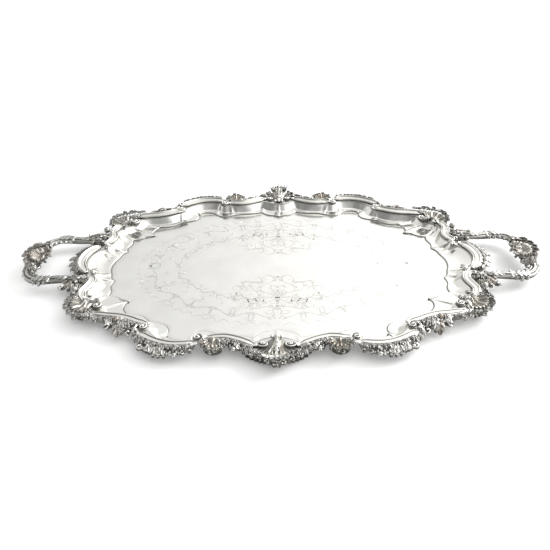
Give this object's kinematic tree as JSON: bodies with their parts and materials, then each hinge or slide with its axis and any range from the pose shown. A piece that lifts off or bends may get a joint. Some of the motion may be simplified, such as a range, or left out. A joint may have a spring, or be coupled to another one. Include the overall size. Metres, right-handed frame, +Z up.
{
  "type": "serving tray",
  "caption": "Shaped oval two-handled serving tray in silver plate, with a lobed side wall, a cast scroll, foliage and shell border and an engraved flat floor.",
  "frame": {"origin": "centre of the flat base, in the plane the tray stands on", "axes": "+X towards the right-hand handle, +Y towards the back long side, +Z up"},
  "size_m": [0.724, 0.402, 0.0259],
  "materials": {
    "sheet": "polished",
    "reeded": "polished",
    "foliage": "satin",
    "shell": "satin",
    "handle": "polished"
  },
  "bodies": {
    "root": {"centre_shell_back": "shell", "centre_shell_front": "shell", "corner_shell_left_back": "shell", "corner_shell_left_front": "shell", "corner_shell_right_back": "shell", "corner_shell_right_front": "shell", "end_c_scroll_left": "reeded", "end_c_scroll_right": "reeded", "end_leaf_left": "foliage", "end_leaf_right": "foliage", "end_s_scroll_left_back": "reeded", "end_s_scroll_left_front": "reeded", "end_s_scroll_right_back": "reeded", "end_s_scroll_right_front": "reeded", "handle_bow_left": "handle", "handle_bow_right": "handle", "handle_root_leaf_left_back": "foliage", "handle_root_leaf_left_front": "foliage", "handle_root_leaf_right_back": "foliage", "handle_root_leaf_right_front": "foliage", "handle_shell_left": "shell", "handle_shell_right": "shell", "side_foliage_corner_left_back": "foliage", "side_foliage_corner_left_front": "foliage", "side_foliage_corner_right_back": "foliage", "side_foliage_corner_right_front": "foliage", "side_foliage_inner_left_back": "foliage", "side_foliage_inner_left_front": "foliage", "side_foliage_inner_right_back": "foliage", "side_foliage_inner_right_front": "foliage", "side_foliage_long_left_back": "foliage", "side_foliage_long_left_front": "foliage", "side_foliage_long_right_back": "foliage", "side_foliage_long_right_front": "foliage", "side_scroll_corner_left_back": "reeded", "side_scroll_corner_left_front": "reeded", "side_scroll_corner_right_back": "reeded", "side_scroll_corner_right_front": "reeded", "side_scroll_inner_left_back": "reeded", "side_scroll_inner_left_front": "reeded", "side_scroll_inner_right_back": "reeded", "side_scroll_inner_right_front": "reeded", "side_scroll_long_left_back": "reeded", "side_scroll_long_left_front": "reeded", "side_scroll_long_right_back": "reeded", "side_scroll_long_right_front": "reeded", "tray_body": "sheet"}
  },
  "joints": []
}
